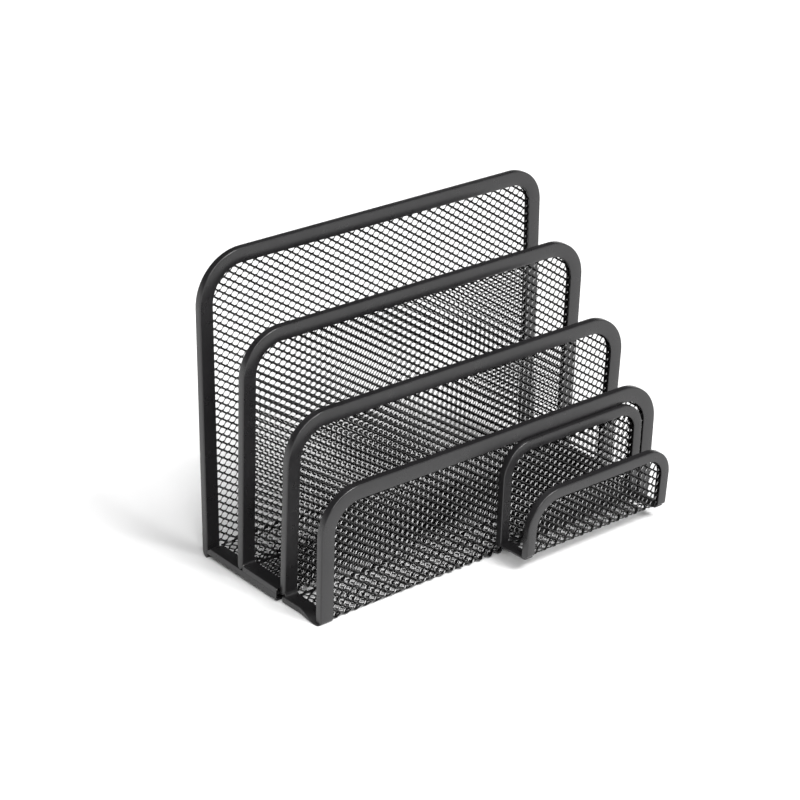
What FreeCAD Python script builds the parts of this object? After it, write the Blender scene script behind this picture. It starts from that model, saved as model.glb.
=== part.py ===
"""Desktop file sorter of powder-coated expanded steel mesh: a FreeCAD 1.1 macro, in millimetres.

Four bent mesh sheets stand one before the other, and each sheet's edges are held in a folded steel
channel, the rim:
  back section     a tall panel whose base runs forward under the others
  second section   a lower panel whose short foot lies on the back section's base
  front section    one sheet bent into a U, whose legs are the third and the front panel
  pocket           a small U on the right half of the front panel
+X is right, +Y is back and +Z is up. The origin is at the middle of the footprint, on the table.
Panels are drawn upright in their own frames, standing at their foot, and then leaned forward.
"""

import FreeCAD, Part
import math
import os
import Sketcher

DIMENSIONS = {
    # rims: folded channels, open towards the mesh
    "rim_thickness": 3.8,
    "rim_flange": 7.1,
    "rim_wall": 0.6,
    "rim_edge_radius": 0.8,
    "corner_radius": 21.0,
    "back_left_radius": 24.0,
    "back_right_radius": 17.5,
    "mesh_thickness": 0.8,
    "mesh_inner_width": 183.6,
    "mesh_front_end": 26.45,
    # the four full-width panels; distances back are measured from the front panel's foot
    "back_width": 200.0,
    "back_height": 145.3,
    "back_distance": 81.7,
    "second_width": 199.8,
    "second_height": 119.2,
    "second_distance": 55.1,
    "second_lean": 2.4,
    "second_leg_foot": 5.2,
    "third_width": 198.2,
    "third_shift": 0.9,
    "third_height": 89.8,
    "third_distance": 26.1,
    "third_lean": 3.3,
    "third_leg_foot": 3.52,
    "front_width": 198.4,
    "front_shift": 0.8,
    "front_height": 63.2,
    "front_lean": 2.0,
    "front_leg_foot": 0.1,
    "front_to_middle": 29.28,
    # the back section's base slopes down to the front, and the second section's foot lies on it
    "base_slope": 1.6,
    "back_base_height": 5.8,
    "back_base_length": 51.9,
    "foot_rim_thickness": 2.5,
    "foot_rim_wall": 0.5,
    "foot_start": 52.8,
    "foot_length": 24.9,
    # the front section's base lies on the table
    "front_base_rim_thickness": 3.4,
    "front_base_start": 25.4,
    "front_base_end": 2.1,
    # the pocket
    "pocket_off_centre": 46.3,
    "pocket_base_width": 87.2,
    "pocket_flange": 5.0,
    "pocket_inner_width": 76.0,
    "pocket_rim_thickness": 3.7,
    "pocket_back_width": 86.4,
    "pocket_back_left_radius": 16.0,
    "pocket_back_right_radius": 14.0,
    "pocket_back_height": 55.9,
    "pocket_back_distance": -2.3,
    "pocket_back_leg_foot": 5.6,
    "pocket_front_width": 88.0,
    "pocket_front_left_radius": 18.0,
    "pocket_front_right_radius": 14.5,
    "pocket_front_height": 39.2,
    "pocket_front_distance": -20.2,
    "pocket_front_lean": 4.5,
    "pocket_front_leg_foot": 7.6,
    "pocket_base_bottom": 6.2,
    "pocket_base_rim_thickness": 1.7,
    "pocket_base_rim_wall": 0.35,
    "pocket_base_start": -4.5,
    "pocket_base_end": -18.7,
    # small beads of weld at the folded corners
    "weld_radius": 0.6,
    "weld_inset": 0.65,
}


class Size:
    """A length or an angle: its value now, and the expression that binds it to the sheet."""

    def __init__(self, value, text):
        self.value = value
        self.text = text

    def _join(self, other, sign, value):
        text = other.text if isinstance(other, Size) else repr(float(other))
        return Size(value, f"({self.text} {sign} {text})")

    def __add__(self, other):
        return self._join(other, "+", self.value + number(other))

    def __sub__(self, other):
        return self._join(other, "-", self.value - number(other))

    def __mul__(self, other):
        return self._join(other, "*", self.value * number(other))

    def slope(self):
        """The rise of a unit length at this angle in degrees."""
        return Size(math.tan(math.radians(self.value)), f"tan({self.text})")


def number(item):
    return item.value if isinstance(item, Size) else float(item)


def dim(name):
    return Size(DIMENSIONS[name], "Dimensions." + name)


def plain(value):
    return Size(float(value), repr(float(value)))


def write_sheet(doc):
    sheet = doc.addObject("Spreadsheet::Sheet", "Dimensions")
    for row, (name, value) in enumerate(DIMENSIONS.items(), start=1):
        sheet.set(f"A{row}", name)
        sheet.set(f"B{row}", str(value))
        sheet.setAlias(f"B{row}", name)
    doc.recompute()


def bind(thing, path, size):
    thing.setExpression(path, size.text)


def put(thing, x, y, z, lean=None):
    """Place a sub-part, with y measured back from the front panel's foot; lean tips it forward."""
    middle = dim("front_to_middle")
    lean = lean or plain(0)
    spot = FreeCAD.Vector(x.value, (y - middle).value, z.value)
    turn = FreeCAD.Rotation(FreeCAD.Vector(1, 0, 0), lean.value)
    thing.Placement = FreeCAD.Placement(spot, turn)
    bind(thing, "Placement.Base.x", x)
    bind(thing, "Placement.Base.y", y - middle)
    bind(thing, "Placement.Base.z", z)
    if lean.value:
        bind(thing, "Placement.Rotation.Angle", lean)


def new_body(doc, name):
    body = doc.addObject("PartDesign::Body", name)
    body.Label = name
    return body


def upright_sketch(body, name):
    """An empty sketch on the body's own XZ plane, seen from the front."""
    sketch = body.newObject("Sketcher::SketchObject", name)
    plane = next(f for f in body.Origin.OriginFeatures if f.Role == "XZ_Plane")
    sketch.AttachmentSupport = [(plane, "")]
    sketch.MapMode = "FlatFace"
    return sketch


def add_constraint(sketch, name, size, *where):
    """A dimension of the sketch that follows the sheet."""
    index = sketch.addConstraint(Sketcher.Constraint(*where, size.value))
    sketch.renameConstraint(index, name)
    bind(sketch, "Constraints." + name, size)


def arch_sketch(body, name, width, top, bottom, radii):
    """An upright plate's outline, symmetrical about x = 0, with round upper corners."""
    sketch = upright_sketch(body, name)
    half = width.value / 2
    left, right = radii[0].value, radii[1].value
    low, high = bottom.value, top.value
    corner = FreeCAD.Vector
    up = corner(0, 0, 1)

    def line(x1, z1, x2, z2):
        return sketch.addGeometry(Part.LineSegment(corner(x1, z1, 0), corner(x2, z2, 0)))

    def arc(x, z, radius, start, end):
        circle = Part.Circle(corner(x, z, 0), up, radius)
        return sketch.addGeometry(Part.ArcOfCircle(circle, start, end))

    quarter = 1.5707963267948966
    left_side = line(-half, low, -half, high - left)
    left_arc = arc(-half + left, high - left, left, quarter, 2 * quarter)
    top_side = line(-half + left, high, half - right, high)
    right_arc = arc(half - right, high - right, right, 0, quarter)
    right_side = line(half, high - right, half, low)
    bottom_side = line(half, low, -half, low)
    for first, first_end, second, second_end in (
        (left_side, 2, left_arc, 2),
        (left_arc, 1, top_side, 1),
        (top_side, 2, right_arc, 2),
        (right_arc, 1, right_side, 1),
    ):
        sketch.addConstraint(Sketcher.Constraint("Tangent", first, first_end, second, second_end))
    for first, second in ((right_side, bottom_side), (bottom_side, left_side)):
        sketch.addConstraint(Sketcher.Constraint("Coincident", first, 2, second, 1))
    for side in (left_side, right_side):
        sketch.addConstraint(Sketcher.Constraint("Vertical", side))
    sketch.addConstraint(Sketcher.Constraint("Horizontal", top_side))
    sketch.addConstraint(Sketcher.Constraint("Symmetric", bottom_side, 1, bottom_side, 2, -2))
    add_constraint(sketch, "width", width, "DistanceX", bottom_side, 2, bottom_side, 1)
    add_constraint(sketch, "top", top, "DistanceY", -1, 1, top_side, 1)
    add_constraint(sketch, "bottom", bottom, "DistanceY", -1, 1, bottom_side, 1)
    add_constraint(sketch, "left_radius", radii[0], "Radius", left_arc)
    add_constraint(sketch, "right_radius", radii[1], "Radius", right_arc)
    return sketch


def box_sketch(body, name, left, right, low, high):
    """A rectangle on the XZ plane, whose four sides are measured from the body's origin."""
    sketch = upright_sketch(body, name)
    corners = [(left, low), (right, low), (right, high), (left, high)]
    points = [FreeCAD.Vector(x.value, z.value, 0) for x, z in corners]
    for start, end in zip(points, points[1:] + points[:1]):
        sketch.addGeometry(Part.LineSegment(start, end))
    for side in range(4):
        sketch.addConstraint(Sketcher.Constraint("Coincident", side, 2, (side + 1) % 4, 1))
    for side in (0, 2):
        sketch.addConstraint(Sketcher.Constraint("Horizontal", side))
    for side in (1, 3):
        sketch.addConstraint(Sketcher.Constraint("Vertical", side))
    add_constraint(sketch, "left", left, "DistanceX", -1, 1, 0, 1)
    add_constraint(sketch, "right", right, "DistanceX", -1, 1, 1, 1)
    add_constraint(sketch, "low", low, "DistanceY", -1, 1, 0, 1)
    add_constraint(sketch, "high", high, "DistanceY", -1, 1, 2, 1)
    return sketch


def grow(body, kind, sketch, length, both_ways):
    """Pad or pocket a sketch, half to each side of its plane or all to the front."""
    feature = body.newObject("PartDesign::" + kind, f"{sketch.Name}_{kind.lower()}")
    feature.Profile = sketch
    feature.Length = length.value
    feature.Midplane = both_ways
    bind(feature, "Length", length)
    if kind == "Pocket" and not both_ways:
        feature.Reversed = True
    body.Tip = feature
    body.Document.recompute()
    return feature


def round_edges(body, solid, chosen, radius):
    """Fillet the chosen edges of the body's last solid."""
    names = [f"Edge{i}" for i, edge in enumerate(solid.Shape.Edges, start=1) if chosen(edge)]
    fillet = body.newObject("PartDesign::Fillet", body.Name + "_fillet")
    fillet.Base = (solid, names)
    fillet.Radius = radius.value
    bind(fillet, "Radius", radius)
    body.Tip = fillet
    body.Document.recompute()


def lies_at(edge, axis, level):
    """True where the whole edge has this coordinate."""
    low = getattr(edge.BoundBox, axis + "Min")
    high = getattr(edge.BoundBox, axis + "Max")
    return abs(low - level) < 1e-4 and abs(high - level) < 1e-4


def panel_rim(doc, name, width, top, bottom, radii, flange, thickness):
    """The channel round a panel's sides and top: two legs and a top rail in one strip."""
    wall = dim("rim_wall")
    body = new_body(doc, name)
    outer = arch_sketch(body, name + "_outline", width, top, bottom, radii)
    plate = grow(body, "Pad", outer, thickness, True)
    face = thickness.value / 2

    def on_outline(edge):
        flat = lies_at(edge, "Y", face) or lies_at(edge, "Y", -face)
        return flat and not lies_at(edge, "Z", bottom.value)

    round_edges(body, plate, on_outline, dim("rim_edge_radius"))
    inner_radii = [radius - flange for radius in radii]
    window = arch_sketch(
        body, name + "_window", width - flange * 2, top - flange, bottom - flange, inner_radii
    )
    grow(body, "Pocket", window, thickness * 2, True)
    hollow_radii = [radius - wall for radius in radii]
    hollow = arch_sketch(
        body, name + "_hollow", width - wall * 2, top - wall, bottom + wall, hollow_radii
    )
    grow(body, "Pocket", hollow, thickness - wall * 2, True)
    return body


def side_rim(doc, name, side, flange, thickness, wall, length):
    """A straight channel along a base's left (-1) or right (+1) edge, open towards the mesh.

    Its frame's origin is at the back end, at the outer edge of its underside.
    """
    body = new_body(doc, name)
    zero = plain(0)
    inner = flange * -side
    ends = (zero, inner) if side < 0 else (inner, zero)
    bar = grow(body, "Pad", box_sketch(body, name + "_section", *ends, zero, thickness), length, False)

    def on_outer_side(edge):
        level = lies_at(edge, "Z", 0) or lies_at(edge, "Z", thickness.value)
        return level and lies_at(edge, "X", 0)

    round_edges(body, bar, on_outer_side, dim("rim_edge_radius"))
    near, far = wall * -side, flange * (-1.5 * side)
    ends = (near, far) if side < 0 else (far, near)
    hollow = box_sketch(body, name + "_hollow", *ends, wall, thickness - wall)
    grow(body, "Pocket", hollow, length * 2.5, True)
    return body


def side_rims(doc, name, half_width, centre, flange, thickness, wall, length, back, low, slope=None):
    """The left and the right channel of one base."""
    made = []
    for word, side in (("left", -1), ("right", 1)):
        body = side_rim(doc, f"{name}_{word}", side, flange, thickness, wall, length)
        put(body, centre + half_width * side, back, low, slope)
        made.append(body)
    return made


def panel_sheet(doc, name, width, top, foot, radii, inner, bend):
    """The upright part of a mesh sheet: inside the rim, and between the legs down to the bend."""
    wall, sheet = dim("rim_wall"), dim("mesh_thickness")
    body = new_body(doc, name)
    edge_radii = [radius - wall for radius in radii]
    outline = arch_sketch(
        body, name + "_outline", width - wall * 2, top - wall, foot + wall, edge_radii
    )
    grow(body, "Pad", outline, sheet, True)
    tongue = box_sketch(
        body, name + "_tongue", inner * -0.5, inner * 0.5, bend, foot + radii[0]
    )
    grow(body, "Pad", tongue, sheet, True)
    return body


def flat_sheet(doc, name, half_width, length):
    """A level part of a mesh sheet, reaching forward from its frame's origin."""
    body = new_body(doc, name)
    sheet = dim("mesh_thickness")
    section = box_sketch(
        body, name + "_section", half_width * -1, half_width, sheet * -0.5, sheet * 0.5
    )
    grow(body, "Pad", section, length, False)
    return body


def base_sheets(doc, name, centre, width, inner, rails, ends, middle, slope=None):
    """A base's mesh: full width between the two rails, and narrower beyond them.

    rails and ends are each a (back, front) pair of distances; middle is the height at rails[0].
    """
    fall = (slope or plain(0)).slope()
    made = []
    for word, half, (back, front) in (
        ("railed", width * 0.5 - dim("rim_wall"), rails),
        ("inner", inner * 0.5, ends),
    ):
        body = flat_sheet(doc, f"{name}_{word}", half, back - front)
        put(body, centre, back, middle + (back - rails[0]) * fall, slope)
        made.append(body)
    return made


def join(doc, name, pieces):
    """One bent sheet from its straight parts."""
    sheet = doc.addObject("Part::MultiFuse", name)
    sheet.Label = name
    sheet.Shapes = pieces
    doc.recompute()
    return sheet


def back_section(doc):
    width, top, back = dim("back_width"), dim("back_height"), dim("back_distance")
    flange, thickness, sheet = dim("rim_flange"), dim("rim_thickness"), dim("mesh_thickness")
    radii = (dim("back_left_radius"), dim("back_right_radius"))
    slope, zero, inner = dim("base_slope"), plain(0), dim("mesh_inner_width")
    rim = panel_rim(doc, "back_rim", width, top, zero, radii, flange, thickness)
    put(rim, zero, back, zero)
    start, low = back - thickness * 0.5, dim("back_base_height") - thickness
    length, wall = dim("back_base_length"), dim("rim_wall")
    rails = side_rims(
        doc, "back_base_rim", width * 0.5, zero, flange, thickness, wall, length, start, low, slope
    )
    middle = low + thickness * 0.5
    upright = panel_sheet(doc, "back_mesh_panel", width, top, zero, radii, inner, middle)
    put(upright, zero, back, zero)
    ends = (back + sheet * 0.5, dim("mesh_front_end"))
    base = base_sheets(
        doc, "back_mesh_base", zero, width, inner, (start, start - length), ends, middle, slope
    )
    return [rim, *rails, join(doc, "back_mesh", [upright, *base])]


def foot_level(back):
    """The height of the back base's rails this far back, where the second section's foot lies."""
    start = dim("back_distance") - dim("rim_thickness") * 0.5
    return dim("back_base_height") - (start - back) * dim("base_slope").slope()


def second_section(doc):
    width, top, back = dim("second_width"), dim("second_height"), dim("second_distance")
    flange, thickness, sheet = dim("rim_flange"), dim("rim_thickness"), dim("mesh_thickness")
    radii = (dim("corner_radius"), dim("corner_radius"))
    lean, slope, zero = dim("second_lean"), dim("base_slope"), plain(0)
    foot, inner = dim("second_leg_foot"), dim("mesh_inner_width")
    rim = panel_rim(doc, "second_rim", width, top, foot, radii, flange, thickness)
    put(rim, zero, back, zero, lean)
    start, length = dim("foot_start"), dim("foot_length")
    low, thin, wall = foot_level(start) + 0.01, dim("foot_rim_thickness"), dim("foot_rim_wall")
    rails = side_rims(
        doc, "second_foot_rim", width * 0.5, zero, flange, thin, wall, length, start, low, slope
    )
    middle = low + thin * 0.5
    upright = panel_sheet(doc, "second_mesh_panel", width, top, foot, radii, inner, middle)
    put(upright, zero, back, zero, lean)
    ends = (back + sheet * 0.1, dim("mesh_front_end"))
    base = base_sheets(
        doc, "second_mesh_base", zero, width, inner, (start, start - length), ends, middle, slope
    )
    return [rim, *rails, join(doc, "second_mesh", [upright, *base])]


def front_section(doc):
    flange, thickness, sheet = dim("rim_flange"), dim("rim_thickness"), dim("mesh_thickness")
    radii = (dim("corner_radius"), dim("corner_radius"))
    zero, thin, inner = plain(0), dim("front_base_rim_thickness"), dim("mesh_inner_width")
    middle = thin * 0.5
    made, uprights = [], []
    for name in ("third", "front"):
        width, top = dim(name + "_width"), dim(name + "_height")
        foot, lean, shift = dim(name + "_leg_foot"), dim(name + "_lean"), dim(name + "_shift")
        back = dim("third_distance") if name == "third" else zero
        rim = panel_rim(doc, name + "_rim", width, top, foot, radii, flange, thickness)
        put(rim, shift, back, zero, lean)
        made.append(rim)
        upright = panel_sheet(doc, name + "_mesh_panel", width, top, foot, radii, inner, middle)
        put(upright, shift, back, zero, lean)
        uprights.append(upright)
    width, wall, shift = dim("front_width"), dim("rim_wall"), dim("front_shift")
    rails_ends = (dim("front_base_start"), dim("front_base_end"))
    length = rails_ends[0] - rails_ends[1]
    rails = side_rims(
        doc, "front_base_rim", width * 0.5, shift, flange, thin, wall, length, rails_ends[0], zero
    )
    ends = (dim("third_distance") + sheet * 0.25, zero - sheet * 0.5)
    base = base_sheets(doc, "front_mesh_base", shift, width, inner, rails_ends, ends, middle)
    return [*made, *rails, join(doc, "front_mesh", [*uprights, *base])]


def pocket(doc):
    flange, thickness = dim("pocket_flange"), dim("pocket_rim_thickness")
    centre, sheet, inner = dim("pocket_off_centre"), dim("mesh_thickness"), dim("pocket_inner_width")
    thin, low = dim("pocket_base_rim_thickness"), dim("pocket_base_bottom")
    middle = low + thin * 0.5
    made, uprights, backs = [], [], []
    for word, lean in (("back", dim("front_lean")), ("front", dim("pocket_front_lean"))):
        name = "pocket_" + word
        width, top, back = dim(name + "_width"), dim(name + "_height"), dim(name + "_distance")
        radii = (dim(name + "_left_radius"), dim(name + "_right_radius"))
        foot = dim(name + "_leg_foot")
        rim = panel_rim(doc, name + "_rim", width, top, foot, radii, flange, thickness)
        put(rim, centre, back, plain(0), lean)
        made.append(rim)
        upright = panel_sheet(doc, name + "_mesh_panel", width, top, foot, radii, inner, middle)
        put(upright, centre, back, plain(0), lean)
        uprights.append(upright)
        backs.append(back - middle * lean.slope())
    rails_ends = (dim("pocket_base_start"), dim("pocket_base_end"))
    length, width = rails_ends[0] - rails_ends[1], dim("pocket_base_width")
    wall = dim("pocket_base_rim_wall")
    rails = side_rims(
        doc, "pocket_base_rim", width * 0.5, centre, flange, thin, wall, length, rails_ends[0], low
    )
    ends = (backs[0] + sheet * 0.5, backs[1] - sheet * 0.5)
    base = base_sheets(doc, "pocket_mesh_base", centre, width, inner, rails_ends, ends, middle)
    return [*made, *rails, join(doc, "pocket_mesh", [*uprights, *base])]


def tack_welds(doc):
    """Beads of weld that hold the second section's foot down, near both ends of each rail."""
    start, length, thin = dim("foot_start"), dim("foot_length"), dim("foot_rim_thickness")
    radius, inset = dim("weld_radius"), dim("weld_inset")
    groups = []
    for word, side in (("left", -1), ("right", 1)):
        beads = []
        for end, back in (("back", start - inset), ("front", start - length + inset)):
            bead = doc.addObject("Part::Sphere", f"weld_{word}_{end}")
            bead.Radius = radius.value
            bind(bead, "Radius", radius)
            high = foot_level(back) + thin + radius + 0.02
            put(bead, (dim("second_width") * 0.5 - inset - radius) * side, back, high)
            beads.append(bead)
        group = doc.addObject("Part::Compound", f"tack_welds_{word}")
        group.Label = group.Name
        group.Links = beads
        groups.append(group)
    doc.recompute()
    return groups


def check(doc, parts):
    for item in doc.Objects:
        if {"Invalid", "Error"} & set(item.State):
            raise RuntimeError(f"{item.Name} failed: {item.State}")
    for part in parts:
        if part.Shape.isNull() or not part.Shape.isValid():
            raise RuntimeError(f"{part.Label} has no valid shape")


def main():
    doc = FreeCAD.newDocument("file_sorter")
    write_sheet(doc)
    parts = back_section(doc) + second_section(doc) + front_section(doc) + pocket(doc)
    parts += tack_welds(doc)
    doc.recompute()
    check(doc, parts)
    os.makedirs("parts", exist_ok=True)
    for part in parts:
        part.Shape.exportStep(f"parts/{part.Label}.step")
        box = part.Shape.BoundBox
        print(f"{part.Label}: {len(part.Shape.Solids)} solid(s), volume {part.Shape.Volume:.0f}, box {box}")


main()
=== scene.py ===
"""Desktop file sorter of expanded steel mesh: rounded folded rims and real diamond mesh.

Units are metres. +X is right, +Y is back, +Z is up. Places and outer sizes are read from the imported
CAD nodes. The first group of sizes below repeats what the CAD source says, because a node's box
doesn't show it. All the other sizes belong to the visual only.
"""

import math

import bpy
import numpy as np
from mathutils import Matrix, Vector


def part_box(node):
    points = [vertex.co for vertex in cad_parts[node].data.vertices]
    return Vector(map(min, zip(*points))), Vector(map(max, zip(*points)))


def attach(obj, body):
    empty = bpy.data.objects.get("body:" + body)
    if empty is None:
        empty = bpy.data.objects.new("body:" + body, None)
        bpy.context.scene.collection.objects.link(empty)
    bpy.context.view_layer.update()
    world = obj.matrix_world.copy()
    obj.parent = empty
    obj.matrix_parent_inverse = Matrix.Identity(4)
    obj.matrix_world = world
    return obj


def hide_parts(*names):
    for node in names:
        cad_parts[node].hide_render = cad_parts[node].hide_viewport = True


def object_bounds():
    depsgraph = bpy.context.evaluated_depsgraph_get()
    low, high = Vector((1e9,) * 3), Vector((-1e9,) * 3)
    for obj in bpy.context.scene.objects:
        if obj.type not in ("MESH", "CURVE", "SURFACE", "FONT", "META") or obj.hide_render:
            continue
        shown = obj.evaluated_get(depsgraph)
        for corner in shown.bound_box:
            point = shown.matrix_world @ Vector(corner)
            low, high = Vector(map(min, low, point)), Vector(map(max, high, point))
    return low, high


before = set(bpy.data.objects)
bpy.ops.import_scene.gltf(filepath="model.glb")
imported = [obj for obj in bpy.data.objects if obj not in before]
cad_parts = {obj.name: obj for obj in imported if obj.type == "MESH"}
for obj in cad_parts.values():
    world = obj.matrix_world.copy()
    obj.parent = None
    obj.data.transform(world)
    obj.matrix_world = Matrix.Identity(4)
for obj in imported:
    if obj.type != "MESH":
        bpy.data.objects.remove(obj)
cad_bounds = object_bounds()

MM = 0.001

# sizes that the CAD source has too
WALL = 0.6 * MM
FLANGE = 7.1 * MM
POCKET_FLANGE = 5.0 * MM
POCKET_THINNER = 0.1 * MM
FOOT_RIM = 2.5 * MM
BASE_SLOPE = math.tan(math.radians(1.6))
CORNER_RADIUS = 21.0 * MM
BACK_LEFT_RADIUS = 24.0 * MM
BACK_RIGHT_RADIUS = 17.5 * MM
POCKET_BACK_RADII = (16.0 * MM, 14.0 * MM)
POCKET_FRONT_RADII = (18.0 * MM, 14.5 * MM)

# channels: the outer edges' radius, and how much a flange's own edge is cut back
EDGE_RADIUS = 0.6 * MM
HEM = 0.15 * MM
# where a base rim thins out: its least thickness, and the shares for edge radius and wall
THINNEST = 0.3 * MM
RADIUS_SHARE = 0.45
WALL_SHARE = 0.3

# from CRIMP_START of its width on, a flange bends in towards the mesh, by a share of half the
# rim's thickness: LEG_CRIMP on legs and base rims, the next four along the tops of the panels
LEG_CRIMP = 0.07
REAR_CRIMP = 0.28
THIRD_CRIMP = 0.16
FRONT_CRIMP = 0.09
POCKET_CRIMP = 0.04
CRIMP_START = 0.5
CRIMP_POWER = 1.7

# feet of the legs, seen from the side: corner radii, least thickness at the end, and how many
# steps the lowest ring is above the end
SMALL_TIP = 0.8 * MM
LARGE_TIP = 3.0 * MM
FRONT_BACK_TIP = 1.0 * MM
POCKET_TIP = 1.8 * MM
POCKET_BACK_TIP = 1.0 * MM
TIP_END = 0.1 * MM
FIRST_RING = 0.3

# the back rail's top dips into the fold at the back
BACK_DIP = 1.4 * MM
BACK_DIP_LENGTH = 3.2 * MM
# the second foot's rail has a fillet at its leg, and its side reaches over the rail below
FOLD_FILLET = 0.9 * MM
FILLET_SHARES = (0.0, 0.15, 0.35, 0.6, 1.0)
FOOT_OVERLAP = 0.9 * MM
# the front rail's outer side dips to a lip and flares outwards; its inner side dips less
FRONT_DIP_LENGTH = 12 * MM
FRONT_DIP_POWER = 1.6
FRONT_INNER_DIP = 0.35
DIP_LIP = 0.8 * MM
FLARE = 1.2 * MM
# past the front: distance, lift of the bottom, share of the lip, inner dip, share of the flare
FRONT_TOE = ((2.4 * MM, 0.0, 1.0, 0.4, 0.9), (3.1 * MM, 0.2 * MM, 0.7, 0.5, 0.5))
# radius of the strip where the third panel's legs turn into the front section's rails
FOLD_CURVE = 2.2 * MM
# the pocket's rail: where it starts to dip, the dip, and its toe past the front
POCKET_FLAT_TO = 2.5 * MM
POCKET_DIP = 0.3 * MM
# distance, lift of the bottom, drop of the top
POCKET_TOE = (2.2 * MM, 0.2 * MM, 0.5 * MM)

# expanded mesh: zigzag ribbons, joined at the bonds
DIAMOND_WIDTH = 5.71 * MM
DIAMOND_HEIGHT = 3.85 * MM
BOND_LENGTH = 1.3 * MM
STRAND_WIDTH = 1.1 * MM
STRAND_THICKNESS = 0.46 * MM
STRAND_TILT = math.radians(43)
# the strands of a base tilt the other way; the tilt changes over this length inside the base
BASE_TILT = math.radians(-33)
TILT_CHANGE = 3.0 * MM
# bends of the sheets, and the step at which a bent line is tabled
BEND_RADIUS = 2.0 * MM
FRONT_BEND_RADIUS = 0.5 * MM
LINE_STEP = 0.1 * MM
# middles of two sheets: the front's above the table, the pocket's above its rail's underside
FRONT_SHEET_HEIGHT = 0.97 * MM
POCKET_SHEET_LIFT = 0.97 * MM
# how far a sheet is ahead of the middle of the front panel's or pocket front's rim
MESH_FORWARD = 0.35 * MM
# a sheet's edge: its distance inside a rim's outside, its overlap with the flanges where only
# legs hold it, and how far before a rail's end it narrows
SHEET_INSET = 1.3 * MM
LEG_OVERLAP = 0.4 * MM
RAIL_END = 1 * MM
# how far each sheet's pattern is turned in its sheet
BACK_TURN = math.radians(1.0)
SECOND_TURN = math.radians(0.4)
FRONT_TURN = math.radians(0.8)
POCKET_TURN = math.radians(0.3)

# beads of weld: places measured from their CAD box, and lumps and height as shares of the radius
BEAD_RADIUS = 0.38 * MM
BEAD_OUTWARD = 0.9 * MM
BEAD_FRONT = 0.05 * MM
BEAD_LOW = 0.9 * MM
BEAD_BACK_LOW = 1.15 * MM
BEAD_LUMP = 0.12
BEAD_HEIGHT = 0.7

# the coats: colour, roughness, specular level, scale of the orange peel
RIM_LOOK = ((0.0125, 0.012, 0.0128), 0.3, 0.56, 2600)
MESH_LOOK = ((0.005, 0.0047, 0.005), 0.27, 0.5, 2600)
# the weld coat is far lighter than the rims' coat, so its colour is a painted highlight that makes
# the beads show as bright dots
WELD_PAINTED_HIGHLIGHT_LOOK = ((0.16, 0.155, 0.15), 0.3, 0.5, 4000)
COAT_IOR = 1.5
# unevenness of a coat: scale and detail of its noise, and what the noise changes
TINT_NOISE, TINT_RANGE = (45, 3), (0.86, 1.14)
GLOSS_NOISE, GLOSS_CHANGE = (160, 4), 0.05
PEEL_DETAIL, PEEL_STRENGTH, PEEL_DEPTH = 2, 0.25, 0.03 * MM
NOISE_ENDS = (0.3, 0.7)

# floor: half its side in metres, then colour, roughness and specular level
FLOOR_HALF = 14
FLOOR_LOOK = ((0.93, 0.93, 0.93, 1), 0.9, 0.1)

# the room: the height of a direction, and how bright it is there
ROOM = ((0.06, 1), (0.26, 0.045))

# suns: name, azimuth, elevation, strength, spread, with angles in degrees
SUNS = (
    ("key", 17, 52, 2.8, 19),
    ("window", -34, 40, 1.5, 24),
    ("side", 62, 30, 0.4, 34),
    ("overhead", -40, 80, 1.1, 44),
)

# camera: azimuth, elevation and roll in degrees, place in metres, lens and sensor in millimetres,
# and the nearest and furthest metres that it sees
CAMERA_ANGLES = (-39.76, 24.54, 0.40)
CAMERA_PLACE = (-0.65460, -0.75210, 0.52335)
CAMERA_LENS = 109.1
CAMERA_SENSOR = 36
CAMERA_CLIP = (0.05, 60)


# ---------------------------------------------------------------- meshes


def new_object(name, verts, faces, material, smooth_below=35):
    """A mesh in the scene. Faces that meet at less than smooth_below degrees are shaded smooth."""
    mesh = bpy.data.meshes.new(name)
    mesh.from_pydata([tuple(v) for v in verts], [], faces)
    mesh.validate()
    mesh.materials.append(material)
    if smooth_below:
        mesh.shade_smooth()
        mesh.set_sharp_from_angle(angle=math.radians(smooth_below))
    obj = bpy.data.objects.new(name, mesh)
    bpy.context.scene.collection.objects.link(obj)
    return obj


def skin(rings):
    """Faces of a closed tube through equal rings of points, with flat ends."""
    count = len(rings[0])
    verts = [point for ring in rings for point in ring]
    faces = []
    for i in range(len(rings) - 1):
        for j in range(count):
            k = (j + 1) % count
            a, b = i * count, (i + 1) * count
            faces.append((a + j, a + k, b + k, b + j))
    faces.append(tuple(range(count))[::-1])
    last = (len(rings) - 1) * count
    faces.append(tuple(range(last, last + count)))
    return verts, faces


def channel_profile(flange, thickness, crimp, radius=EDGE_RADIUS, wall=WALL):
    """A C-section as (inward, across) points: its back is at 0 inward, and it opens inwards.

    The inner part of both flanges bends in towards the mesh, by a share of the half thickness.
    """
    half = thickness / 2
    arc_steps, flange_steps = 5, 4
    points, outer = [], []
    for i in range(flange_steps + 1):
        share = i / flange_steps
        inward = flange * (CRIMP_START + (1 - CRIMP_START) * share)
        outer.append((inward, half - crimp * half * share ** CRIMP_POWER))
    for side in (-1, 1):
        arc = []
        for i in range(arc_steps + 1):
            angle = math.pi / 2 * i / arc_steps
            inward = radius - radius * math.sin(angle)
            across = half - radius + radius * math.cos(angle)
            arc.append((inward, side * across))
        lip = outer[-1][1]
        face = [(flange, lip - HEM), (flange - HEM, lip)] + outer[-2::-1]
        run = [(inward, side * across) for inward, across in face] + arc
        points += run if side < 0 else run[::-1]
    inner = [(inward, across - wall) for inward, across in outer[::-1]] + [(wall, half - wall)]
    points += inner + [(inward, -across) for inward, across in inner[::-1]]
    return points


# ---------------------------------------------------------------- panels


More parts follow.
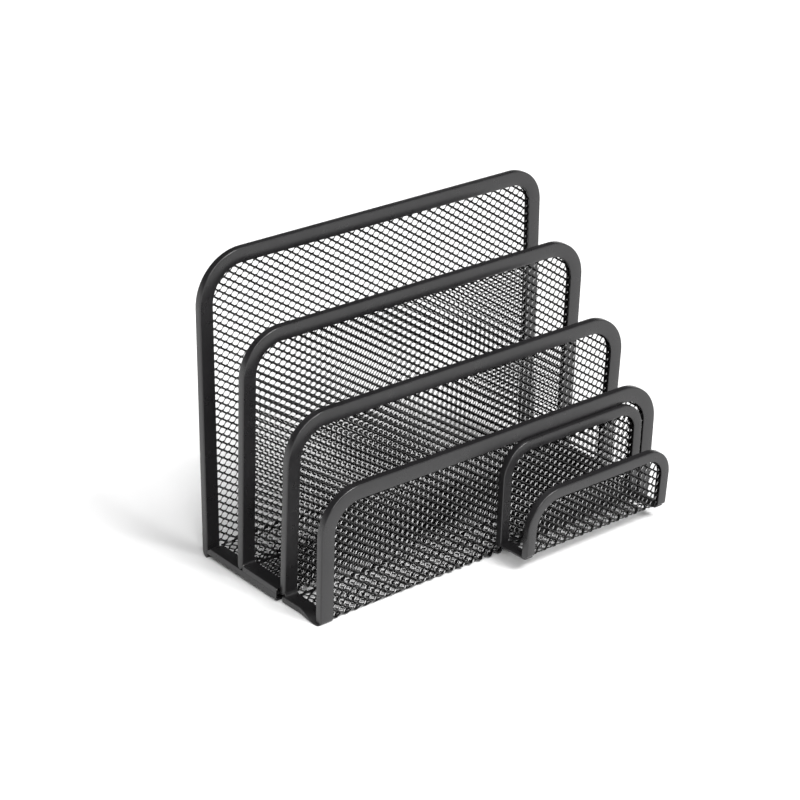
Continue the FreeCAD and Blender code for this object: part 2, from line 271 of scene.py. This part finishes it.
class Panel:
    """One upright panel's frame, read from its CAD rim: v runs up along it, d runs to its back.

    radii are those of its left and right top corners; crimp is the bend of its top's flanges.
    """

    def __init__(self, node, thickness, flange, radii, crimp):
        low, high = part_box(node)
        self.thickness, self.flange, self.radii, self.crimp = thickness, flange, radii, crimp
        self.left, self.right = low.x, high.x
        rise = high.z - low.z
        self.lean = math.asin(max(0.0, (high.y - low.y - thickness)) / rise)
        self.foot = low.z / math.cos(self.lean)
        flat = thickness - 2 * EDGE_RADIUS
        self.top = (high.z - 0.5 * flat * math.sin(self.lean)) / math.cos(self.lean)
        self.base_y = high.y - thickness / 2 * math.cos(self.lean) + self.foot * math.sin(self.lean)

    def at(self, x, v, d=0.0):
        """The place in the scene of a point of the panel."""
        sine, cosine = math.sin(self.lean), math.cos(self.lean)
        return (x, self.base_y - v * sine + d * cosine, v * cosine + d * sine)

    def outline(self):
        """Stations (x, v, inward x, inward v) up the left leg, over the top and down the right."""
        steps = 16
        left, right = self.radii
        stations = []
        for i in range(steps + 1):
            angle = math.pi - math.pi / 2 * i / steps
            c, s = math.cos(angle), math.sin(angle)
            x, v = self.left + left + left * c, self.top - left + left * s
            stations.append((x, v, -c, -s))
        for i in range(steps + 1):
            angle = math.pi / 2 - math.pi / 2 * i / steps
            c, s = math.cos(angle), math.sin(angle)
            x, v = self.right - right + right * c, self.top - right + right * s
            stations.append((x, v, -c, -s))
        return stations

    def holds(self, x, v, inset):
        """True where a point of the panel's plane is inside its outline, less an inset."""
        left, right = self.radii
        if not (self.left + inset < x < self.right - inset and v < self.top - inset):
            return False
        corners = ((self.left + left, left, -1), (self.right - right, right, 1))
        for centre, radius, outward in corners:
            dx, dv = (x - centre) * outward, v - (self.top - radius)
            if dx > 0 and dv > 0 and math.hypot(dx, dv) > radius - inset:
                return False
        return True


def tip_limits(height, half, front_radius, back_radius):
    """How far a leg reaches to its front and its back, this high above its rounded foot."""
    limits = []
    for radius in (front_radius, back_radius):
        short = max(0.0, radius - height)
        limits.append(half - radius + math.sqrt(radius ** 2 - short ** 2))
    front_limit, back_limit = limits
    return -front_limit, max(back_limit, TIP_END - front_limit)


def panel_rim(name, panel, tips, material):
    """The channel up one leg, over the top and down the other, with rounded tips at the feet.

    tips are the radii of the foot's front and back corners, seen from the side.
    """
    half = panel.thickness / 2
    steps = 9
    tip = []
    for i in range(steps):
        angle = math.pi / 2 * (i + FIRST_RING) / (steps - 1 + FIRST_RING)
        height = max(tips) * (1 - math.cos(angle))
        tip.append((panel.foot + height, tip_limits(height, half, *tips)))
    full = (-half, half)
    stations = [(panel.left, v, 1, 0, limits) for v, limits in tip]
    stations += [(*place, full) for place in panel.outline()]
    stations += [(panel.right, v, -1, 0, limits) for v, limits in reversed(tip)]
    rings = []
    for x, v, inward_x, inward_v, (low, high) in stations:
        ring = []
        crimp = LEG_CRIMP + (panel.crimp - LEG_CRIMP) * abs(inward_v)
        for u, d in channel_profile(panel.flange, panel.thickness, crimp):
            share = (d + half) / (2 * half)
            ring.append(panel.at(x + u * inward_x, v + u * inward_v, low + share * (high - low)))
        rings.append(ring)
    verts, faces = skin(rings)
    faces = [face[::-1] for face in faces]
    obj = new_object(name + "_folded", verts, faces, material)
    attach(obj, "root")
    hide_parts(name)


# ---------------------------------------------------------------- base rims


def base_rim(name, side, flange, levels, material):
    """A base's channel along its left (-1) or right (+1) edge.

    levels are stations (y, bottom, outer top, inner top, flare). The flare pushes the side
    outwards, as far as the CAD model's own width allows.
    """
    low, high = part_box(name)
    outer = low.x if side < 0 else high.x
    room = cad_bounds[1][0] - abs(outer)
    rings = []
    for y, bottom, top, inner_top, flare in levels:
        thickness = max(top - bottom, THINNEST)
        radius = min(EDGE_RADIUS, RADIUS_SHARE * thickness)
        wall = min(WALL, WALL_SHARE * thickness)
        profile = channel_profile(flange, thickness, LEG_CRIMP, radius, wall)
        ring = []
        for u, d in profile:
            share = u / flange
            height = (d + thickness / 2) / thickness
            z = bottom + height * (thickness + (inner_top - top) * eased(share))
            ring.append((outer - side * (u - min(flare, room) * (1 - share)), y, z))
        rings.append(ring)
    verts, faces = skin(rings)
    if side < 0:
        faces = [face[::-1] for face in faces]
    if name.startswith("front"):
        add_fold_curve(verts, faces, outer, side, flange, high.z)
    obj = new_object(name + "_folded", verts, faces, material)
    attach(obj, "root")
    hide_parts(name)


def add_fold_curve(verts, faces, outer, side, flange, top):
    """The curved strip where the third panel's leg turns into the base, inside its side."""
    face_y = third.at(0, top + FOLD_CURVE / 2)[1] - third.thickness / 2
    start = len(verts)
    steps, across = 8, 8
    for depth in (0.0, WALL):
        for j in range(across):
            share = j / (across - 1)
            u = EDGE_RADIUS + share * (flange - EDGE_RADIUS)
            along = max(0.0, (u / flange - CRIMP_START) / (1 - CRIMP_START))
            pinch = LEG_CRIMP * third.thickness / 2 * along ** CRIMP_POWER
            for i in range(steps + 1):
                angle = math.pi / 2 * i / steps
                y = face_y + pinch + depth - FOLD_CURVE * (1 - math.cos(angle))
                z = top - pinch - depth + FOLD_CURVE * (1 - math.sin(angle))
                verts.append((outer - side * u, y, z))
    layer = across * (steps + 1)

    made = []

    def quad(*corners):
        made.append(tuple(start + k * layer + j * (steps + 1) + i for k, j, i in corners))

    for j in range(across - 1):
        for i in range(steps):
            quad((0, j, i), (0, j, i + 1), (0, j + 1, i + 1), (0, j + 1, i))
            quad((1, j, i), (1, j + 1, i), (1, j + 1, i + 1), (1, j, i + 1))
    for i in range(steps):
        for j, (a, b) in ((0, (0, 1)), (across - 1, (1, 0))):
            quad((a, j, i), (b, j, i), (b, j, i + 1), (a, j, i + 1))
    for j in range(across - 1):
        for i, (a, b) in ((0, (1, 0)), (steps, (0, 1))):
            quad((a, j, i), (b, j, i), (b, j + 1, i), (a, j + 1, i))
    faces += made if side < 0 else [face[::-1] for face in made]


def eased(t):
    """From 0 to 1, slow at both ends."""
    return t * t * (3 - 2 * t)


def level(y, bottom, top):
    """A base rim's station with an even top and no flare."""
    return y, bottom, top, top, 0.0


def back_levels(name, thickness, slope):
    """Stations of the back section's base rim, which dips a little into the fold at the back."""
    low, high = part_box(name)
    levels = []
    steps = 7
    for i in range(steps + 1):
        share = i / steps
        y = high.y - share * BACK_DIP_LENGTH
        top = high.z - (high.y - y) * slope
        levels.append(level(y, top - thickness, top - BACK_DIP * (1 - eased(share))))
    top = high.z - (high.y - low.y) * slope
    levels.append(level(low.y, top - thickness, top))
    return levels


def foot_levels(name, thickness, slope):
    """Stations of the second section's foot rim, with a small fillet against the leg.

    Its side reaches down over the rim below, so the two look like one deep side.
    """
    low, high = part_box(name)
    levels = []
    for share in FILLET_SHARES:
        lift = FOLD_FILLET * (1 - math.sqrt(1 - (1 - share) ** 2))
        y = high.y - share * FOLD_FILLET
        top = high.z - (high.y - y) * slope
        levels.append(level(y, top - thickness - FOOT_OVERLAP, top + lift))
    top = high.z - (high.y - low.y) * slope
    levels.append(level(low.y, top - thickness - FOOT_OVERLAP, top))
    return levels


def front_levels(name):
    """Stations of the front section's base rim.

    Its outer edge dips to the table and bulges out under the front panel's leg.
    """
    low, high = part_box(name)
    levels = [level(high.y, low.z, high.z)]
    dip_from = low.y + FRONT_DIP_LENGTH
    fall = high.z - low.z - DIP_LIP
    steps = 14
    for i in range(steps + 1):
        t = i / steps
        y = dip_from + (low.y - dip_from) * t
        drop = fall * t ** FRONT_DIP_POWER
        inner_top = high.z - FRONT_INNER_DIP * drop
        levels.append((y, low.z, high.z - drop, inner_top, FLARE * eased(t)))
    for ahead, lift, lip, dip, flare in FRONT_TOE:
        top, inner_top = low.z + lip * DIP_LIP, high.z - dip * fall
        levels.append((low.y - ahead, low.z + lift, top, inner_top, FLARE * flare))
    return levels


def pocket_levels(name):
    """Stations of the pocket's base rim, which dips a little under the pocket front's leg."""
    low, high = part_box(name)
    ahead, lift, drop = POCKET_TOE
    return [
        level(high.y, low.z, high.z),
        level(low.y + POCKET_FLAT_TO, low.z, high.z),
        level(low.y, low.z, high.z - POCKET_DIP),
        level(low.y - ahead, low.z + lift, high.z - drop),
    ]


# ---------------------------------------------------------------- expanded mesh


class Bent:
    """A sheet's middle line in the YZ plane: straight runs with a round bend at each corner.

    A run is ("line", start, end, direction, None) or ("arc", centre, inward, direction, turn).
    """

    def __init__(self, corners, radius):
        points = [Vector((0, y, z)) for y, z in corners]
        self.runs = []
        start = points[0]
        for i in range(1, len(points)):
            direction = (points[i] - points[i - 1]).normalized()
            if i < len(points) - 1:
                after = (points[i + 1] - points[i]).normalized()
                turn = direction.angle(after)
                cut = radius * math.tan(turn / 2)
                end = points[i] - direction * cut
                self.runs.append(("line", start, end, direction, None))
                side = direction.cross(after).normalized()
                inward = side.cross(direction)
                self.runs.append(("arc", end + inward * radius, inward, direction, turn))
                start = points[i] + after * cut
            else:
                self.runs.append(("line", start, points[i], direction, None))
        self.radius = radius
        self.lengths = [
            (run[2] - run[1]).length if run[0] == "line" else radius * run[4] for run in self.runs
        ]
        self.starts = [sum(self.lengths[:i]) for i in range(len(self.runs))]
        self.length = sum(self.lengths)

    def table(self):
        """Arrays of distance along the sheet, y, z, and the normal's y and z."""
        rows = []
        for run, start, length in zip(self.runs, self.starts, self.lengths):
            count = max(2, int(length / LINE_STEP))
            for i in range(count):
                s = length * i / count
                if run[0] == "line":
                    place = run[1] + run[3] * s
                    direction = run[3]
                else:
                    angle = s / self.radius
                    centre, inward, before = run[1], run[2], run[3]
                    direction = before * math.cos(angle) + inward * math.sin(angle)
                    outward = before * math.sin(angle) - inward * math.cos(angle)
                    place = centre + outward * self.radius
                rows.append((start + s, place.y, place.z, direction.z, -direction.y))
        last = self.runs[-1]
        rows.append((self.length, last[2].y, last[2].z, last[3].z, -last[3].y))
        return np.array(rows)


def ribbon_path(left, right, odd):
    """One ribbon's stations across the sheet: x, and if it is at a near (-1) or far (+1) bond."""
    half_pitch = DIAMOND_WIDTH / 2
    first = math.floor(left / half_pitch) - 1
    last = math.ceil(right / half_pitch) + 1
    stations = []
    for k in range(first, last + 1):
        side = 1 if (k + odd) % 2 else -1
        centre = k * half_pitch
        stations.append((centre - BOND_LENGTH / 2, side))
        stations.append((centre + BOND_LENGTH / 2, side))
    return np.array(stations)


def mesh_sheet(name, line, inside, left, right, rotation, material, base):
    """Expanded mesh along a bent line: every ribbon zigzags between the bonds of two rows.

    inside(x, s) says where the sheet is; rotation turns the whole pattern in the sheet. Between the
    two distances in base the strands tilt the other way.
    """
    table = line.table()
    slope = math.tan(rotation)
    row_pitch = DIAMOND_HEIGHT / 2
    reach = max(abs(left), abs(right)) * slope
    half_width, half_thick = STRAND_WIDTH / 2, STRAND_THICKNESS / 2
    section = [(-1, -1), (1, -1), (1, 1), (-1, 1)]
    verts, faces = [], []
    first = math.floor(-reach / row_pitch) - 1
    last = math.ceil((line.length + reach) / row_pitch) + 1
    for row in range(first, last + 1):
        path = ribbon_path(left, right, row % 2)
        x, side = path[:, 0], path[:, 1]
        bond = row * row_pitch + side * row_pitch / 2
        place = row * row_pitch - x * slope
        within = np.minimum(place - base[0], base[1] - place) / TILT_CHANGE
        tilt = STRAND_TILT + (BASE_TILT - STRAND_TILT) * np.clip(within, 0.0, 1.0)
        sine, cosine = np.sin(tilt), np.cos(tilt)
        s = bond - side * half_width * cosine - x * slope
        d = -side * half_width * sine
        keep = [inside(xi, si) for xi, si in zip(x, s)]
        run = []
        for i in range(len(x) + 1):
            if i < len(x) and keep[i]:
                run.append(i)
                continue
            if len(run) > 1:
                start = len(verts)
                for j in run:
                    for across, through in section:
                        wide, thick = across * half_width, through * half_thick
                        sj = s[j] - wide * cosine[j] + thick * sine[j]
                        dj = d[j] - wide * sine[j] - thick * cosine[j]
                        verts.append((x[j], sj, dj))
                n = len(run)
                for q in range(n - 1):
                    a, b = start + 4 * q, start + 4 * q + 4
                    for e in range(4):
                        f = (e + 1) % 4
                        faces.append((a + f, b + f, b + e, a + e))
                faces.append((start + 3, start + 2, start + 1, start))
                end = start + 4 * (n - 1)
                faces.append((end, end + 1, end + 2, end + 3))
            run = []
    flat = np.array(verts)
    columns = [np.interp(flat[:, 1], table[:, 0], table[:, c]) for c in range(1, 5)]
    y, z, normal_y, normal_z = columns
    # past either end of the line, carry straight on
    past = np.minimum(flat[:, 1], 0.0) + np.maximum(flat[:, 1] - line.length, 0.0)
    y -= past * normal_z
    z += past * normal_y
    depth = flat[:, 2]
    places = np.column_stack([flat[:, 0], y - depth * normal_y, z - depth * normal_z])
    obj = new_object(name + "_expanded", places, faces, material, smooth_below=0)
    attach(obj, "root")
    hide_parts(name)


# ---------------------------------------------------------------- materials


def powder_coat(name, colour, roughness, specular, grain):
    """Satin powder coat: a fine orange peel, with slightly uneven colour and gloss."""
    material = bpy.data.materials.new(name)
    material.use_nodes = True
    nodes, links = material.node_tree.nodes, material.node_tree.links
    shader = nodes["Principled BSDF"]
    shader.inputs["Metallic"].default_value = 0.0
    shader.inputs["IOR"].default_value = COAT_IOR
    shader.inputs["Specular IOR Level"].default_value = specular
    coordinates = nodes.new("ShaderNodeTexCoord")

    def noise(scale, detail):
        node = nodes.new("ShaderNodeTexNoise")
        node.inputs["Scale"].default_value = scale
        node.inputs["Detail"].default_value = detail
        links.new(coordinates.outputs["Object"], node.inputs["Vector"])
        return node

    def ramp(source, low, high):
        node = nodes.new("ShaderNodeValToRGB")
        for end, place, values in zip(node.color_ramp.elements, NOISE_ENDS, (low, high)):
            end.position = place
            end.color = (*values, 1)
        links.new(source.outputs["Fac"], node.inputs["Fac"])
        return node

    blotches = noise(*TINT_NOISE)
    tint = ramp(blotches, *([c * share for c in colour] for share in TINT_RANGE))
    links.new(tint.outputs["Color"], shader.inputs["Base Color"])
    smoother, rougher = roughness - GLOSS_CHANGE, roughness + GLOSS_CHANGE
    gloss = ramp(noise(*GLOSS_NOISE), [smoother] * 3, [rougher] * 3)
    links.new(gloss.outputs["Color"], shader.inputs["Roughness"])
    peel = noise(grain, PEEL_DETAIL)
    bump = nodes.new("ShaderNodeBump")
    bump.inputs["Strength"].default_value = PEEL_STRENGTH
    bump.inputs["Distance"].default_value = PEEL_DEPTH
    links.new(peel.outputs["Fac"], bump.inputs["Height"])
    links.new(bump.outputs["Normal"], shader.inputs["Normal"])
    return material


RIM_COAT = powder_coat("rim_powder_coat", *RIM_LOOK)
MESH_COAT = powder_coat("mesh_powder_coat", *MESH_LOOK)
# the weld coat's light colour is a painted highlight on the beads
WELD_PAINTED_HIGHLIGHT_COAT = powder_coat("weld_painted_highlight_coat", *WELD_PAINTED_HIGHLIGHT_LOOK)


# ---------------------------------------------------------------- the object


def thickness_of(node):
    """An upright CAD node's size from front to back."""
    low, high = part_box(node)
    return high.y - low.y


RIM = thickness_of("back_rim")
POCKET_RIM = RIM - POCKET_THINNER
EVEN = (CORNER_RADIUS, CORNER_RADIUS)
back = Panel("back_rim", RIM, FLANGE, (BACK_LEFT_RADIUS, BACK_RIGHT_RADIUS), REAR_CRIMP)
second = Panel("second_rim", RIM, FLANGE, EVEN, REAR_CRIMP)
third = Panel("third_rim", RIM, FLANGE, EVEN, THIRD_CRIMP)
front = Panel("front_rim", RIM, FLANGE, EVEN, FRONT_CRIMP)
pocket_back = Panel(
    "pocket_back_rim", POCKET_RIM, POCKET_FLANGE, POCKET_BACK_RADII, FRONT_CRIMP,
)
pocket_front = Panel(
    "pocket_front_rim", POCKET_RIM, POCKET_FLANGE, POCKET_FRONT_RADII, POCKET_CRIMP,
)

ROUND_TIP = RIM / 2
for name, panel, tips in (
    ("back_rim", back, (SMALL_TIP, LARGE_TIP)),
    ("second_rim", second, (ROUND_TIP, ROUND_TIP)),
    ("third_rim", third, (LARGE_TIP, SMALL_TIP)),
    ("front_rim", front, (ROUND_TIP, FRONT_BACK_TIP)),
    ("pocket_back_rim", pocket_back, (POCKET_TIP, POCKET_TIP)),
    ("pocket_front_rim", pocket_front, (POCKET_TIP, POCKET_BACK_TIP)),
):
    panel_rim(name, panel, tips, RIM_COAT)

for word, side in (("left", -1), ("right", 1)):
    name = "back_base_rim_" + word
    base_rim(name, side, FLANGE, back_levels(name, RIM, BASE_SLOPE), RIM_COAT)
    name = "second_foot_rim_" + word
    base_rim(name, side, FLANGE, foot_levels(name, FOOT_RIM, BASE_SLOPE), RIM_COAT)
    name = "front_base_rim_" + word
    base_rim(name, side, FLANGE, front_levels(name), RIM_COAT)
    name = "pocket_base_rim_" + word
    base_rim(name, side, POCKET_FLANGE, pocket_levels(name), RIM_COAT)


def foot_of(panel, z):
    """The y of a panel's middle plane at a height."""
    return panel.at(0, z / math.cos(panel.lean))[1]


def top_of(panel):
    """The y and z of a panel's middle at its top."""
    place = panel.at(0, panel.top)
    return place[1], place[2]


def on_panel(panel, x, v, bend_v):
    """Where a panel's mesh is: inside its rim, and between the legs near the fold."""
    if v > bend_v + panel.thickness:
        return panel.holds(x, v, SHEET_INSET)
    inner = panel.flange - LEG_OVERLAP
    return panel.left + inner < x < panel.right - inner


def l_sheet(name, panel, rail, rail_thickness, rotation):
    """A panel's mesh that folds forward into its base."""
    low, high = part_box(rail)
    middle = high.z - rail_thickness / 2 + (foot_of(panel, high.z) - high.y) * BASE_SLOPE
    fold_y = foot_of(panel, middle)
    end_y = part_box(name)[0].y
    end_z = middle - (fold_y - end_y) * BASE_SLOPE
    line = Bent([top_of(panel), (fold_y, middle), (end_y, end_z)], BEND_RADIUS)
    bend_v = middle / math.cos(panel.lean)
    fold_s = panel.top - bend_v
    rail_from, rail_to = high.y - RAIL_END, low.y

    def inside(x, s):
        if s < 0 or s > line.length:
            return False
        if s < fold_s:
            return on_panel(panel, x, panel.top - s, bend_v)
        y = fold_y - (s - fold_s)
        inset = SHEET_INSET if rail_to < y < rail_from else panel.flange - LEG_OVERLAP
        return panel.left + inset < x < panel.right - inset

    # the free end keeps the base's tilt
    base = (fold_s, line.length + TILT_CHANGE)
    left, right = panel.left, panel.right
    mesh_sheet(name, line, inside, left, right, rotation, MESH_COAT, base)


def u_sheet(name, rear, fore, rail, middle, bend_radius, rotation):
    """Mesh that runs down one panel, along a base and up the panel in front of it."""
    low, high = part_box(rail)
    rear_y, fore_y = foot_of(rear, middle), foot_of(fore, middle) - MESH_FORWARD
    fore_top_y, fore_top_z = top_of(fore)
    fore_end = (fore_top_y - MESH_FORWARD, fore_top_z)
    line = Bent([top_of(rear), (rear_y, middle), (fore_y, middle), fore_end], bend_radius)
    rear_v, fore_v = middle / math.cos(rear.lean), middle / math.cos(fore.lean)
    rear_s = rear.top - rear_v
    fore_s = rear_s + rear_y - fore_y
    rail_from = high.y - (rear.thickness if rail.startswith("front") else 0) - RAIL_END
    rail_to = low.y + RAIL_END

    def inside(x, s):
        if s < 0 or s > line.length:
            return False
        if s < rear_s:
            return on_panel(rear, x, rear.top - s, rear_v)
        if s > fore_s:
            return on_panel(fore, x, fore.top - (line.length - s), fore_v)
        y = rear_y - (s - rear_s)
        inset = SHEET_INSET if rail_to < y < rail_from else rear.flange - LEG_OVERLAP
        return rear.left + inset < x < rear.right - inset

    base = (rear_s, fore_s)
    mesh_sheet(name, line, inside, rear.left, rear.right, rotation, MESH_COAT, base)


l_sheet("back_mesh", back, "back_base_rim_left", RIM, BACK_TURN)
l_sheet("second_mesh", second, "second_foot_rim_left", FOOT_RIM, SECOND_TURN)
u_sheet(
    "front_mesh", third, front, "front_base_rim_left",
    FRONT_SHEET_HEIGHT, FRONT_BEND_RADIUS, FRONT_TURN,
)
POCKET_SHEET_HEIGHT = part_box("pocket_base_rim_left")[0].z + POCKET_SHEET_LIFT
u_sheet(
    "pocket_mesh", pocket_back, pocket_front, "pocket_base_rim_left",
    POCKET_SHEET_HEIGHT, BEND_RADIUS, POCKET_TURN,
)


def weld_beads(name):
    """Two small uneven beads of weld on a foot rail, one behind the other."""
    low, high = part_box(name)
    radius = BEAD_RADIUS
    middle_x = (low.x + high.x) / 2
    middle_x += math.copysign(BEAD_OUTWARD, middle_x)
    verts, faces = [], []
    places = ((low.y - BEAD_FRONT, low.z - BEAD_LOW), (high.y - radius, high.z - BEAD_BACK_LOW))
    rings, sides = 7, 12
    for y, z in places:
        start = len(verts)
        for i in range(rings):
            polar = math.pi * (i + 0.5) / rings
            for j in range(sides):
                turn = 2 * math.pi * j / sides
                lump = 1 + BEAD_LUMP * math.sin(3 * turn + 2 * polar)
                verts.append((
                    middle_x + radius * lump * math.sin(polar) * math.cos(turn),
                    y + radius * lump * math.sin(polar) * math.sin(turn),
                    z + BEAD_HEIGHT * radius * math.cos(polar),
                ))
        for i in range(rings - 1):
            for j in range(sides):
                k = (j + 1) % sides
                a, b = start + i * sides, start + (i + 1) * sides
                faces.append((a + j, b + j, b + k, a + k))
        faces.append(tuple(range(start, start + sides)))
        faces.append(tuple(range(start + (rings - 1) * sides, start + rings * sides))[::-1])
    # the beads' light colour is a painted highlight, so that they show as bright dots
    obj = new_object(name + "_beads", verts, faces, WELD_PAINTED_HIGHLIGHT_COAT, smooth_below=80)
    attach(obj, "root")
    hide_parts(name)


weld_beads("tack_welds_left")
weld_beads("tack_welds_right")


# ---------------------------------------------------------------- stage


def plain_floor():
    """A matt white floor that reaches past what the camera sees."""
    size = FLOOR_HALF
    colour, roughness, specular = FLOOR_LOOK
    mesh = bpy.data.meshes.new("floor")
    corners = [(-size, -size, 0), (size, -size, 0), (size, size, 0), (-size, size, 0)]
    mesh.from_pydata(corners, [], [(0, 1, 2, 3)])
    material = bpy.data.materials.new("floor")
    material.use_nodes = True
    shader = material.node_tree.nodes["Principled BSDF"]
    shader.inputs["Base Color"].default_value = colour
    shader.inputs["Roughness"].default_value = roughness
    shader.inputs["Specular IOR Level"].default_value = specular
    mesh.materials.append(material)
    floor = bpy.data.objects.new("floor", mesh)
    bpy.context.scene.collection.objects.link(floor)


def sun(name, azimuth, elevation, strength, spread):
    """A soft sun that shines from an azimuth (0 is the front, 90 the right) and an elevation."""
    light = bpy.data.lights.new(name, "SUN")
    light.energy = strength
    light.angle = math.radians(spread)
    lamp = bpy.data.objects.new(name, light)
    a, e = math.radians(azimuth), math.radians(elevation)
    towards = Vector((math.sin(a) * math.cos(e), -math.cos(a) * math.cos(e), math.sin(e)))
    lamp.rotation_euler = towards.to_track_quat("Z", "Y").to_euler()
    bpy.context.scene.collection.objects.link(lamp)


def studio():
    """A white table in a dim room that is bright only near the horizon, under four soft lights."""
    world = bpy.data.worlds.new("studio")
    world.use_nodes = True
    nodes, links = world.node_tree.nodes, world.node_tree.links
    background = nodes["Background"]
    background.inputs["Strength"].default_value = 1.0
    place = nodes.new("ShaderNodeTexCoord")
    split = nodes.new("ShaderNodeSeparateXYZ")
    ramp = nodes.new("ShaderNodeValToRGB")
    links.new(place.outputs["Generated"], split.inputs["Vector"])
    links.new(split.outputs["Z"], ramp.inputs["Fac"])
    links.new(ramp.outputs["Color"], background.inputs["Color"])
    for end, (height, grey) in zip(ramp.color_ramp.elements, ROOM):
        end.position = height
        end.color = (grey, grey, grey, 1)
    bpy.context.scene.world = world
    for light in SUNS:
        sun(*light)
    bpy.context.scene.view_settings.view_transform = "Standard"


def camera():
    """The camera that was fitted to the photograph."""
    data = bpy.data.cameras.new("camera")
    data.sensor_width = CAMERA_SENSOR
    data.lens = CAMERA_LENS
    cam = bpy.data.objects.new("camera", data)
    azimuth, elevation, roll = (math.radians(a) for a in CAMERA_ANGLES)
    back_way = Vector((
        math.sin(azimuth) * math.cos(elevation),
        -math.cos(azimuth) * math.cos(elevation),
        math.sin(elevation),
    ))
    across = Vector((0, 0, 1)).cross(back_way).normalized()
    up = back_way.cross(across)
    turned = across * math.cos(roll) + up * math.sin(roll)
    upward = up * math.cos(roll) - across * math.sin(roll)
    matrix = cam.matrix_world.copy()
    for column, axis in enumerate((turned, upward, back_way)):
        for row in range(3):
            matrix[row][column] = axis[row]
    matrix.translation = Vector(CAMERA_PLACE)
    cam.matrix_world = matrix
    data.clip_start, data.clip_end = CAMERA_CLIP
    bpy.context.scene.collection.objects.link(cam)
    bpy.context.scene.camera = cam


plain_floor()
studio()
camera()
